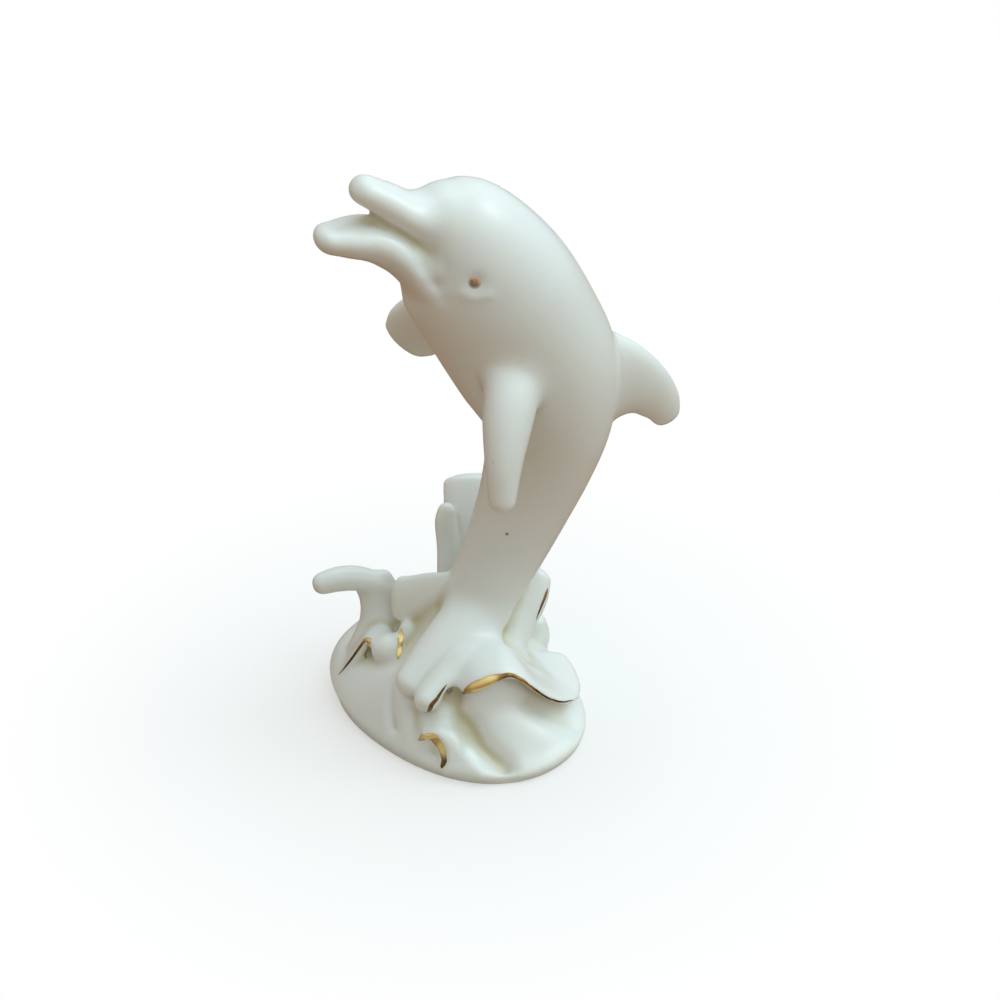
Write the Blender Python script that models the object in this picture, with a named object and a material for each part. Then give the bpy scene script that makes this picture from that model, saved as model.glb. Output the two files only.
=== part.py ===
"""Porcelain figurine of a dolphin leaping out of breaking waves, one slip-cast piece.

Each form of the sculpture is a closed loft: the body, jaws, fins and flukes, the mound of sea and
the wave crests on it. A voxel Remesh fuses the forms into one skin, a Smooth modifier rounds it as
the glaze does, and the lip line, the eye sockets and the flutes of the waves are pressed in. The
foot is cut flat. Lengths in the tables are in millimetres, +Z is up, the dolphin leaps towards -X,
its near flank is on the -Y side, and the origin is the centre of the flat foot.
"""

import math

import bmesh
import bpy
import numpy as np
from mathutils import Matrix, Vector

MM = 0.001

# Casting: how finely the forms fuse, how far the glaze rounds them, and how coarse the part is.
VOXEL = 0.6
GLAZE_PASSES = 8
GLAZE_STRENGTH = 0.5
TRIANGLES = 10500

# A point this near the plane of the foot, in metres, is taken as on it.
CUT_SNAP = 1e-7

# Glaze: its colour as linear red, green, blue and alpha, and its roughness.
IVORY = (0.72, 0.73, 0.66, 1.0)
GLAZE_ROUGHNESS = 0.16

# Overall size: the chin's tip to the dorsal fin's tip, flipper tip to flipper tip, and the foot to
# the tip of the upper jaw. The tables of the dolphin and the waves are drawn at about this size and
# stretched to it.
LENGTH = 79.4
SPREAD = 50.5
HEIGHT = 129.5

# Foot of the sea base: an oval whose long side is turned under the near flank.
FOOT_LENGTH = 63.0
FOOT_WIDTH = 45.4
FOOT_TURN = -66.5
FOOT_SQUARENESS = 2.2
FOOT_INSET = 0.97
FOOT_ROLL_HEIGHT = 2.4
FOOT_EXTRA_DEPTH = 4.0
SUMMIT_SHARE = 0.18
SUMMIT_HEIGHT = 26.0

# Mound of sea, by direction from the foot's centre in degrees. Each pair is a share of the foot's
# radius and a share of the summit's height: low wall, high wall, brow, shoulder.
MOUND = [
    (-170.0, (1.0, 0.192), (0.9, 0.385), (0.76, 0.558), (0.46, 0.769)),
    (-145.0, (0.98, 0.212), (0.91, 0.404), (0.8, 0.577), (0.5, 0.808)),
    (-122.0, (0.96, 0.212), (0.86, 0.404), (0.75, 0.577), (0.48, 0.865)),
    (-103.0, (0.9, 0.200), (0.76, 0.404), (0.66, 0.673), (0.42, 0.904)),
    (-88.0, (0.88, 0.200), (0.7, 0.462), (0.64, 0.731), (0.42, 0.923)),
    (-73.0, (0.88, 0.185), (0.7, 0.423), (0.64, 0.673), (0.42, 0.904)),
    (-60.0, (0.9, 0.177), (0.75, 0.331), (0.68, 0.500), (0.42, 0.788)),
    (-48.0, (0.93, 0.154), (0.83, 0.246), (0.75, 0.369), (0.46, 0.654)),
    (-30.0, (0.97, 0.154), (0.9, 0.246), (0.8, 0.369), (0.5, 0.596)),
    (0.0, (0.98, 0.173), (0.94, 0.277), (0.84, 0.400), (0.5, 0.596)),
    (35.0, (0.98, 0.173), (0.95, 0.327), (0.86, 0.462), (0.5, 0.654)),
    (75.0, (0.96, 0.192), (0.88, 0.404), (0.76, 0.596), (0.48, 0.769)),
    (112.0, (0.98, 0.192), (0.9, 0.385), (0.78, 0.538), (0.48, 0.731)),
    (140.0, (1.02, 0.192), (0.97, 0.327), (0.84, 0.446), (0.5, 0.635)),
    (160.0, (1.02, 0.192), (0.94, 0.327), (0.8, 0.462), (0.48, 0.654)),
]

# Body from the forehead to the tail: x, z, half width, depth to the back, depth to the belly. Jaws
# from the throat to the tip: x, z, half width, depth to the chin, depth to the crown.
BODY = [
    (-6.8, 116.6, 6.4, 6.0, 7.0),
    (-3.6, 116.0, 9.8, 10.6, 11.4),
    (1.4, 112.2, 12.8, 14.2, 15.4),
    (8.3, 102.0, 15.0, 16.6, 16.8),
    (15.2, 89.8, 15.6, 16.8, 17.2),
    (19.6, 80.0, 15.2, 16.2, 16.5),
    (21.2, 70.0, 14.0, 13.4, 14.2),
    (19.6, 60.0, 12.0, 11.2, 12.2),
    (16.2, 49.6, 9.8, 9.6, 10.8),
    (11.2, 38.6, 8.4, 8.6, 9.4),
    (6.4, 30.0, 8.4, 7.8, 8.0),
    (2.0, 22.0, 8.6, 7.0, 7.0),
]
UPPER_JAW = [
    (-2.0, 117.2, 8.6, 5.6, 4.8),
    (-8.5, 120.6, 6.9, 4.4, 4.1),
    (-13.4, 123.8, 5.3, 3.8, 3.7),
    (-17.6, 126.6, 4.2, 3.0, 3.2),
]
LOWER_JAW = [
    (-0.5, 97.0, 11.0, 6.0, 7.6),
    (-3.8, 103.4, 10.8, 5.0, 8.0),
    (-7.2, 108.6, 9.8, 4.4, 6.2),
    (-10.4, 113.0, 8.4, 4.7, 4.6),
    (-13.8, 115.9, 7.3, 4.9, 4.0),
    (-17.4, 117.3, 6.6, 4.4, 4.1),
    (-21.2, 117.9, 6.1, 3.8, 3.6),
    (-24.3, 118.3, 5.0, 3.2, 3.0),
]

# Fins and flukes: spine point x, y, z, half chord, half thickness; and the chord's direction.
DORSAL_FIN = [
    (24.0, 0.0, 76.0, 15.5, 6.6),
    (33.0, 0.0, 75.0, 12.5, 4.8),
    (38.4, 0.0, 74.0, 9.1, 3.6),
    (43.2, 0.0, 71.5, 6.4, 2.9),
    (47.0, 0.0, 67.4, 4.8, 2.4),
    (48.8, 0.0, 63.8, 3.4, 2.0),
]
DORSAL_CHORD = (-0.1, 0.0, 1.0)
NEAR_FLIPPER = [
    (10.8, -5.0, 94.5, 7.4, 4.8),
    (9.0, -9.8, 89.6, 7.2, 4.8),
    (6.6, -14.4, 85.0, 6.3, 4.7),
    (4.3, -17.8, 80.0, 5.3, 4.2),
    (2.4, -20.8, 73.6, 4.0, 3.4),
    (1.3, -22.8, 66.6, 2.9, 2.6),
]
NEAR_FLIPPER_CHORD = (0.93, 0.25, -0.2)
FAR_FLIPPER = [
    (11.0, 9.0, 94.0, 8.0, 5.4),
    (6.4, 14.6, 90.6, 7.4, 4.2),
    (1.6, 18.8, 86.4, 7.4, 3.2),
    (-1.0, 21.2, 83.0, 7.0, 2.8),
    (-2.2, 22.2, 81.6, 6.0, 2.5),
]
FAR_FLIPPER_CHORD = (0.18, 0.1, -0.95)
NEAR_FLUKE = [
    (6.0, -2.0, 27.6, 7.0, 6.4),
    (0.2, -4.7, 25.3, 6.2, 5.6),
    (-6.6, -7.4, 22.4, 4.9, 4.7),
    (-11.7, -9.2, 19.7, 4.0, 4.0),
    (-15.0, -10.5, 17.9, 3.3, 3.3),
]
NEAR_FLUKE_CHORD = (-0.51, 0.58, 0.56)
FAR_FLUKE = [
    (2.0, 1.0, 26.4, 7.4, 3.4),
    (-2.4, 3.4, 26.0, 7.3, 2.4),
    (-6.4, 6.0, 25.6, 6.8, 2.0),
    (-10.4, 8.6, 26.0, 5.4, 1.8),
]
FAR_FLUKE_CHORD = (0.15, 0.1, 1.0)

# Breaking crests: a point of the lip, the root behind it, and half the thickness.
FRONT_AWNING = [
    ((-6.2, -19.6, 18.2), (-3.0, -11.0, 21.5), 2.1),
    ((-3.3, -21.3, 19.9), (-1.0, -11.5, 23.5), 2.2),
    ((0.2, -21.9, 21.3), (1.0, -12.0, 24.5), 1.8),
    ((3.5, -22.2, 21.8), (3.5, -12.0, 24.5), 1.4),
    ((6.8, -22.6, 19.8), (6.0, -12.0, 23.0), 1.3),
    ((10.1, -22.8, 16.3), (8.0, -12.0, 20.0), 1.3),
    ((13.5, -22.6, 13.1), (10.0, -11.6, 17.0), 1.3),
    ((17.3, -21.6, 10.4), (12.0, -11.0, 14.5), 1.3),
    ((21.0, -18.8, 8.7), (14.0, -9.6, 12.6), 1.3),
    ((23.4, -13.5, 8.6), (15.0, -7.0, 12.0), 1.4),
    ((24.0, -7.0, 9.4), (15.0, -3.0, 12.0), 1.4),
]
LEFT_AWNING = [
    ((-23.6, 9.6, 8.0), (-17.0, 16.5, 8.0), 1.6),
    ((-21.6, 7.8, 12.6), (-15.0, 15.0, 12.6), 1.6),
    ((-19.2, 6.2, 17.2), (-13.4, 12.0, 17.0), 1.6),
    ((-18.0, 4.0, 17.4), (-12.5, 8.0, 17.5), 1.5),
    ((-18.6, 2.0, 15.4), (-13.0, 5.0, 15.6), 1.4),
]
FRONT_CURL = [
    ((-15.6, -19.4, 9.0), (-11.5, -14.5, 9.6), 1.3),
    ((-12.8, -20.8, 10.2), (-8.5, -15.5, 10.4), 1.5),
    ((-11.5, -22.6, 8.6), (-6.0, -17.5, 8.6), 1.6),
    ((-11.5, -23.4, 5.6), (-5.0, -19.5, 5.8), 1.6),
    ((-12.8, -23.4, 1.5), (-7.0, -20.0, 1.5), 1.5),
]

# Waves: spine point x, y, z, half width, depth to the near side, depth to the far side.
PICTURE_LEFT = (-0.927, 0.375, 0.0)
HOOK_SHEET = [
    (-15.0, 11.0, 6.0, 9.0, 6.0, 6.0),
    (-14.4, 11.8, 12.0, 6.4, 4.4, 5.0),
    (-13.2, 12.8, 17.0, 5.0, 2.8, 3.6),
    (-12.8, 13.8, 21.5, 4.6, 2.2, 3.0),
    (-13.2, 14.6, 25.0, 4.6, 2.0, 2.6),
    (-14.0, 15.2, 27.2, 4.6, 1.8, 2.4),
]
HOOK_BAR = [
    (-8.4, 13.0, 23.4, 2.0, 2.0, 2.0),
    (-12.2, 14.4, 26.0, 2.4, 2.4, 2.4),
    (-17.0, 15.6, 28.2, 2.8, 2.8, 2.8),
    (-21.5, 16.2, 28.8, 2.8, 2.8, 2.8),
    (-25.2, 16.6, 28.3, 2.5, 2.5, 2.5),
]
SPLASH = [
    (7.0, 11.0, 18.0, 6.4, 4.6, 9.0),
    (7.8, 13.6, 28.0, 5.2, 3.4, 5.2),
    (9.6, 15.6, 36.0, 6.0, 2.9, 3.4),
    (11.2, 17.2, 42.0, 6.8, 2.6, 2.6),
    (11.8, 18.2, 45.0, 6.8, 2.3, 2.3),
]
SPLASH_SIDE = [
    (3.4, 12.0, 22.0, 3.4, 2.8, 2.8),
    (3.6, 14.0, 32.0, 2.7, 2.3, 2.3),
    (3.4, 15.2, 38.0, 2.5, 2.1, 2.1),
    (4.0, 15.8, 41.0, 2.1, 1.9, 1.9),
]
BLADE = [
    (6.0, -5.0, 8.0, 6.2, 5.0, 5.0),
    (6.6, -3.6, 14.0, 7.4, 4.6, 4.6),
    (9.4, -1.4, 19.4, 7.5, 3.6, 4.0),
    (12.4, -0.2, 22.6, 6.9, 3.1, 3.4),
    (15.6, 1.0, 26.0, 6.5, 2.7, 2.8),
    (18.4, 2.4, 29.2, 5.2, 2.3, 2.3),
]
BACK_LOBE = [
    (15.0, 5.4, 5.0, 7.4, 5.4, 5.4),
    (19.4, 5.2, 9.8, 5.0, 4.2, 4.2),
    (20.2, 5.0, 13.6, 3.2, 2.8, 2.8),
]
FRONT_RIDGE = [
    (4.0, -7.6, 21.8, 4.4, 4.2, 4.2),
    (-1.8, -11.0, 21.8, 4.2, 4.2, 4.4),
    (-6.8, -13.0, 19.6, 3.7, 3.5, 4.0),
    (-11.2, -15.0, 17.4, 3.1, 2.9, 3.5),
    (-13.3, -16.0, 16.4, 2.7, 2.6, 3.2),
]
LEFT_BALL = [
    (-13.5, 4.4, 14.0, 4.2, 4.2, 4.2),
    (-14.8, 3.8, 17.0, 3.8, 3.5, 3.5),
]
LEFT_STREAK = [
    (-12.6, 2.0, 13.0, 2.6, 2.2, 2.6),
    (-11.2, 3.2, 17.0, 2.2, 2.0, 2.4),
    (-10.0, 4.4, 20.6, 1.7, 1.6, 2.0),
]

# Marks pressed into the skin (depth above 0) or raised from it: points, reach, depth. The marks
# of the face are for its near side and are repeated on the far one: the eye socket and its lower
# lid, the line of the mouth and the lip under it.
MARK_STEPS = 12
MARK_SPREAD = 0.6
FACE_MARKS = [
    ([(0.0, -13.0, 110.3)], 2.6, 0.6),
    ([(-2.6, -12.4, 107.9), (-0.5, -13.2, 107.0), (2.1, -13.8, 107.5)], 1.4, -0.35),
    ([(-12.5, -2.6, 117.3), (-10.3, -5.8, 115.2), (-8.6, -8.3, 112.7), (-6.9, -9.5, 109.5)], 1.9, 0.7),
    ([(-6.9, -9.5, 109.5), (-5.6, -9.9, 106.4)], 2.0, 0.4),
    ([(-13.5, -7.6, 114.6), (-10.8, -9.2, 111.4), (-8.8, -9.4, 108.0)], 2.4, -0.4),
]
MARKS = [
    ([(-9.0, 0.0, 117.5), (-16.0, 0.0, 120.2), (-22.5, 0.0, 120.2)], 6.0, 1.2),
    ([(-14.8, -20.8, 5.2)], 3.0, 1.4),
    ([(-18.0, -5.0, 16.0), (-19.4, -8.3, 11.3), (-19.4, -11.0, 7.0)], 2.4, 0.7),
    ([(-15.4, -14.0, 12.0), (-17.4, -17.0, 7.0)], 2.4, 0.8),
    ([(-5.0, -17.0, 15.0), (-1.0, -20.5, 10.5), (5.0, -24.2, 6.2), (12.0, -26.4, 3.6)], 4.4, 1.0),
    ([(8.5, -20.5, 12.5), (13.4, -22.0, 8.5), (18.8, -22.4, 5.0)], 5.0, 0.5),
    ([(-8.5, -19.5, 12.0), (-6.0, -22.5, 8.0), (-3.0, -26.0, 4.6), (1.0, -28.4, 3.0)], 2.8, -0.6),
]


def smooth_run(keys, rows, wanted):
    """Cubic Hermite values of the rows at the wanted keys, with tangents from their neighbours."""
    keys, rows = np.array(keys, float), np.array(rows, float)
    slopes = np.gradient(rows, keys, axis=0)
    low = np.clip(np.searchsorted(keys, wanted, side="right") - 1, 0, len(keys) - 2)
    span = (keys[low + 1] - keys[low])[:, None]
    t = ((wanted - keys[low]) / span[:, 0])[:, None]
    start, end = rows[low], rows[low + 1]
    leaving, arriving = slopes[low] * span, slopes[low + 1] * span
    rise = 3 * t**2 - 2 * t**3
    return start + (end - start) * rise + leaving * (t**3 - 2 * t**2 + t) + arriving * (t**3 - t**2)


def refined(rows, steps):
    """The rows as a smooth run with `steps` rows for each gap."""
    keys = np.arange(len(rows))
    return smooth_run(keys, rows, np.linspace(0.0, len(rows) - 1.0, (len(rows) - 1) * steps + 1))


def ring_faces(rings, around):
    """Quads between neighbouring rings, and a fan to a point at each end."""
    first, last = rings * around, rings * around + 1
    faces = []
    for j in range(around):
        k = (j + 1) % around
        faces.append((k, j, first))
        for i in range(rings - 1):
            faces.append((i * around + j, i * around + k, (i + 1) * around + k, (i + 1) * around + j))
        faces.append(((rings - 1) * around + j, (rings - 1) * around + k, last))
    return faces


def form(name, points, faces):
    """One closed form, from points in millimetres."""
    mesh = bpy.data.meshes.new(name)
    mesh.from_pydata([Vector(p) * MM for p in points], [], faces)
    obj = bpy.data.objects.new(name, mesh)
    bpy.context.scene.collection.objects.link(obj)
    return obj


def unit(rows):
    return rows / np.linalg.norm(rows, axis=-1, keepdims=True)


def loft(name, stations, across, caps=(0.7, 0.9), around=28, steps=6, dome=5):
    """A closed tube through stations (x, y, z, half width, depth to one side, depth to the other).

    A section's width lies along `across`, one direction or one for each station, squared up to
    the spine. Each end is a dome as high as its share in `caps` of the end section's mean depth.
    """
    rows = refined(stations, steps)
    centres, sizes = rows[:, :3], rows[:, 3:]
    along = unit(np.gradient(centres, axis=0))
    across = refined(np.broadcast_to(across, (len(stations), 3)), steps)
    wide = unit(across - (along * across).sum(1)[:, None] * along)
    deep = np.cross(along, wide)
    sections = [(i, 0.0, 1.0) for i in range(len(rows))]
    for k in range(1, dome + 1):
        angle = math.pi / 2 * k / (dome + 1)
        sections.insert(0, (0, -math.sin(angle) * caps[0] * sizes[0, 1:].mean(), math.cos(angle)))
        sections.append((-1, math.sin(angle) * caps[1] * sizes[-1, 1:].mean(), math.cos(angle)))
    points = []
    for i, shift, share in sections:
        for j in range(around):
            angle = 2 * math.pi * j / around
            depth = sizes[i, 1] if math.sin(angle) >= 0 else sizes[i, 2]
            offset = wide[i] * sizes[i, 0] * math.cos(angle) + deep[i] * depth * math.sin(angle)
            points.append(centres[i] + along[i] * shift + offset * share)
    points.append(centres[0] - along[0] * caps[0] * sizes[0, 1:].mean())
    points.append(centres[-1] + along[-1] * caps[1] * sizes[-1, 1:].mean())
    return form(name, points, ring_faces(len(sections), around))


def fin(name, stations, chord, caps=(0.5, 0.9)):
    """A blade that is as wide as its chord and equally thick to both sides."""
    return loft(name, [row + row[-1:] for row in stations], chord, caps)


def awning(name, stations):
    """A breaking crest: a thin sheet from its lip back to its root."""
    lips = np.array([lip for lip, _, _ in stations])
    roots = np.array([root for _, root, _ in stations])
    half_thick = np.array([[thick] for _, _, thick in stations])
    half_width = np.linalg.norm(roots - lips, axis=1, keepdims=True) / 2
    rows = np.hstack([(lips + roots) / 2, half_width, half_thick, half_thick])
    return loft(name, rows, roots - lips, caps=(1.2, 1.2), around=36)


def in_plane(stations):
    """Stations of a form that lies in the dolphin's plane of symmetry."""
    return [(x, 0.0, z, wide, up, down) for x, z, wide, up, down in stations]


def foot_radius(angle):
    """Radius of the oval foot in a direction, in radians."""
    turned = angle - math.radians(FOOT_TURN)
    along = abs(math.cos(turned) / (FOOT_LENGTH / 2)) ** FOOT_SQUARENESS
    across = abs(math.sin(turned) / (FOOT_WIDTH / 2)) ** FOOT_SQUARENESS
    return (along + across) ** (-1.0 / FOOT_SQUARENESS)


def mound_profiles(angles):
    """The mound's profile of (share of the foot's radius, height) pairs for each angle."""
    keys, rows = [], []
    for turn in (-360.0, 0.0, 360.0):
        for angle, *pairs in MOUND:
            keys.append(angle + turn)
            rows.append([value for share, rise in pairs for value in (share, rise * SUMMIT_HEIGHT)])
    return smooth_run(keys, rows, angles).reshape(len(angles), -1, 2)


def make_mound(around=144, steps=5):
    """The body of the sea: a hill on the oval foot, hollowed under the breaking crests."""
    angles = np.linspace(-180.0, 180.0, around, endpoint=False)
    profiles = []
    foot = [(FOOT_INSET, -FOOT_EXTRA_DEPTH), (FOOT_INSET, 0.0), (1.0, FOOT_ROLL_HEIGHT)]
    top = [(SUMMIT_SHARE, SUMMIT_HEIGHT)]
    for hill in mound_profiles(angles):
        profiles.append(refined(foot + list(hill) + top, steps))
    profiles = np.array(profiles)
    points = []
    for i in range(profiles.shape[1]):
        for j, degrees in enumerate(angles):
            angle = math.radians(degrees)
            radius = foot_radius(angle) * profiles[j, i, 0]
            points.append((radius * math.cos(angle), radius * math.sin(angle), profiles[j, i, 1]))
    points.append((0.0, 0.0, -FOOT_EXTRA_DEPTH))
    points.append((0.0, 0.0, SUMMIT_HEIGHT))
    return form("mound", points, ring_faces(profiles.shape[1], around))


def make_dolphin():
    side = (0.0, 1.0, 0.0)
    return [
        loft("body", in_plane(BODY), side, caps=(0.4, 0.6), around=48),
        loft("upper_jaw", in_plane(UPPER_JAW), side),
        loft("lower_jaw", in_plane(LOWER_JAW), side, caps=(0.7, 1.15)),
        fin("dorsal_fin", DORSAL_FIN, DORSAL_CHORD),
        fin("near_flipper", NEAR_FLIPPER, NEAR_FLIPPER_CHORD),
        fin("far_flipper", FAR_FLIPPER, FAR_FLIPPER_CHORD),
        fin("near_fluke", NEAR_FLUKE, NEAR_FLUKE_CHORD),
        fin("far_fluke", FAR_FLUKE, FAR_FLUKE_CHORD),
    ]


def make_waves():
    return [
        loft("hook_sheet", HOOK_SHEET, PICTURE_LEFT),
        loft("hook_bar", HOOK_BAR, (0.0, 0.0, 1.0)),
        loft("splash", SPLASH, PICTURE_LEFT),
        loft("splash_side", SPLASH_SIDE, PICTURE_LEFT),
        loft("blade", BLADE, PICTURE_LEFT),
        loft("back_lobe", BACK_LOBE, PICTURE_LEFT),
        loft("front_ridge", FRONT_RIDGE, NEAR_FLUKE_CHORD),
        awning("front_curl", FRONT_CURL),
        awning("front_awning", FRONT_AWNING),
        awning("left_awning", LEFT_AWNING),
        loft("left_ball", LEFT_BALL, PICTURE_LEFT),
        loft("left_streak", LEFT_STREAK, PICTURE_LEFT),
    ]


def stretched(forms):
    """Stretches the drawn forms to the overall size and returns the stretch along x, y and z."""
    points = np.array([vert.co for piece in forms for vert in piece.data.vertices]) / MM
    low, high = points.min(0), points.max(0)
    stretch = np.array((LENGTH, SPREAD, HEIGHT)) / (high[0] - low[0], high[1] - low[1], high[2])
    for piece in forms:
        piece.data.transform(Matrix.Diagonal((*stretch, 1.0)))
    return stretch


def fused(forms, name):
    """One object whose mesh is the glazed skin of all the forms together."""
    skin = bmesh.new()
    for piece in forms:
        skin.from_mesh(piece.data)
        bpy.data.objects.remove(piece)
    bmesh.ops.recalc_face_normals(skin, faces=skin.faces)
    mesh = bpy.data.meshes.new(name)
    skin.to_mesh(mesh)
    skin.free()
    obj = bpy.data.objects.new(name, mesh)
    bpy.context.scene.collection.objects.link(obj)
    remesh = obj.modifiers.new("cast", "REMESH")
    remesh.mode = "VOXEL"
    remesh.voxel_size = VOXEL * MM
    glaze = obj.modifiers.new("glaze", "SMOOTH")
    glaze.factor = GLAZE_STRENGTH
    glaze.iterations = GLAZE_PASSES
    apply_modifiers(obj)
    return obj


def apply_modifiers(obj):
    graph = bpy.context.evaluated_depsgraph_get()
    mesh = bpy.data.meshes.new_from_object(obj.evaluated_get(graph))
    obj.modifiers.clear()
    obj.data = mesh


def keep_outer_skin(obj):
    """Drops the loose shells that closed in around gaps between the forms."""
    mesh = bmesh.new()
    mesh.from_mesh(obj.data)
    left = set(mesh.verts)
    shells = []
    while left:
        shell, edge = set(), [left.pop()]
        while edge:
            vert = edge.pop()
            shell.add(vert)
            near = {link.other_vert(vert) for link in vert.link_edges} & left
            left -= near
            edge.extend(near)
        shells.append(shell)
    outer = max(shells, key=len)
    bmesh.ops.delete(mesh, geom=[v for v in mesh.verts if v not in outer], context="VERTS")
    mesh.to_mesh(obj.data)
    mesh.free()


def press_marks(obj, stretch):
    """Moves the skin along its normals near each mark's run of points, which are stretched too."""
    count = len(obj.data.vertices)
    places, normals = np.empty(count * 3), np.empty(count * 3)
    obj.data.vertices.foreach_get("co", places)
    obj.data.vertex_normals.foreach_get("vector", normals)
    places, normals = places.reshape(-1, 3) / MM, normals.reshape(-1, 3)
    moved = np.zeros(count)
    far_face = [([(x, -y, z) for x, y, z in run], reach, depth) for run, reach, depth in FACE_MARKS]
    for points, reach, depth in MARKS + FACE_MARKS + far_face:
        run = (refined(points, MARK_STEPS) if len(points) > 1 else np.array(points)) * stretch
        nearest = np.full(count, np.inf)
        for point in run:
            nearest = np.minimum(nearest, ((places - point) ** 2).sum(1))
        moved -= depth * np.exp(-nearest / (MARK_SPREAD * reach) ** 2)
    places += normals * moved[:, None]
    obj.data.vertices.foreach_set("co", (places * MM).ravel())
    obj.data.update()


def glazed_porcelain():
    material = bpy.data.materials.new("ivory_glazed_porcelain")
    material.use_nodes = True
    surface = material.node_tree.nodes["Principled BSDF"]
    surface.inputs["Base Color"].default_value = IVORY
    surface.inputs["Roughness"].default_value = GLAZE_ROUGHNESS
    surface.inputs["Metallic"].default_value = 0.0
    return material


def thin_out(obj):
    thin = obj.modifiers.new("thin_out", "DECIMATE")
    thin.ratio = TRIANGLES / sum(len(face.vertices) - 2 for face in obj.data.polygons)
    apply_modifiers(obj)


def cut_foot(obj):
    """Cuts everything below z = 0 away and closes the foot with one flat face."""
    mesh = bmesh.new()
    mesh.from_mesh(obj.data)
    whole = mesh.verts[:] + mesh.edges[:] + mesh.faces[:]
    plane = {"plane_co": (0, 0, 0), "plane_no": (0, 0, -1)}
    bmesh.ops.bisect_plane(mesh, geom=whole, dist=CUT_SNAP, clear_outer=True, **plane)
    rim = [edge for edge in mesh.edges if edge.is_boundary]
    bmesh.ops.holes_fill(mesh, edges=rim, sides=0)
    mesh.to_mesh(obj.data)
    mesh.free()


def main():
    for obj in list(bpy.data.objects):
        bpy.data.objects.remove(obj)
    sculpture = make_dolphin() + make_waves()
    stretch = stretched(sculpture)
    figurine = fused([make_mound()] + sculpture, "dolphin_figurine")
    keep_outer_skin(figurine)
    press_marks(figurine, stretch)
    thin_out(figurine)
    cut_foot(figurine)
    figurine.data.shade_smooth()
    figurine.data.materials.append(glazed_porcelain())


main()
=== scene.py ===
"""Looks of the porcelain dolphin figurine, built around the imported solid.

One finely meshed porcelain skin stands for the solid. The gilt lines, the painted eyes and the
glaze speck are thin coats laid on that skin. Lengths in the tables are in millimetres, +Z is up,
the dolphin leaps towards -X and its near flank is on the -Y side.
"""
import math

import bmesh
import bpy
import numpy as np
from mathutils import Matrix, Vector
from mathutils.bvhtree import BVHTree


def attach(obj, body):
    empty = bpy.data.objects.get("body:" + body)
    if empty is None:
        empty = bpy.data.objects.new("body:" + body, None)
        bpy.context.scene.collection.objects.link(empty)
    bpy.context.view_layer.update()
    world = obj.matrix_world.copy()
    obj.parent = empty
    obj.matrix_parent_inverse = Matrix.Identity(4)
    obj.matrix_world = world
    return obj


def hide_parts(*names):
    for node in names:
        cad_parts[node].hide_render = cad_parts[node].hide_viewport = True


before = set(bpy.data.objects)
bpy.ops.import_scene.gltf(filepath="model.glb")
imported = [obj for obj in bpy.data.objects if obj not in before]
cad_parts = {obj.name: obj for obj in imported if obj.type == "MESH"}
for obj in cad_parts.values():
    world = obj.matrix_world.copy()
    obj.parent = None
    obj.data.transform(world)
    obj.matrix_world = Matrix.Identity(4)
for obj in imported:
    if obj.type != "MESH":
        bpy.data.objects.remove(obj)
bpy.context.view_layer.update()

MM = 0.001

# Camera: where it stands around the figurine, what it looks at, and its focal length. The focal
# length and the middle of the view are in pixels of the 1000 x 1000 photograph.
AZIMUTH = math.radians(-22.0)
ELEVATION = math.radians(32.0)
DISTANCE = 0.42
TARGET = np.array((0.0082, -0.003, 0.058))
FOCAL_PIXELS = 2020.0
MIDDLE = (497.0, 482.0)
PHOTO_WIDTH = 1000.0
SENSOR = 36.0
CLIP_START = 0.01

# Casting: how finely the forms fuse, how far the glaze rounds them, all over and at soft spots,
# and how fine the skin stays.
VOXEL = 0.42
GLAZE_PASSES = 14
GLAZE_STRENGTH = 0.5
SOFT_PASSES = 240
SOFT_LEVELS = 20
SKIN_TRIANGLES = 190000

# Overall size of the dolphin and the waves, as the solid has it.
LENGTH = 79.4
SPREAD = 50.5
HEIGHT = 129.5

# Foot of the sea base: an oval whose long side is turned under the near flank.
FOOT_LENGTH = 63.0
FOOT_WIDTH = 45.4
FOOT_TURN = -66.5
FOOT_SQUARENESS = 2.2
FOOT_INSET = 0.97
FOOT_ROLL_HEIGHT = 2.4
FOOT_EXTRA_DEPTH = 4.0
SUMMIT_SHARE = 0.18
SUMMIT_HEIGHT = 26.0

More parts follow.
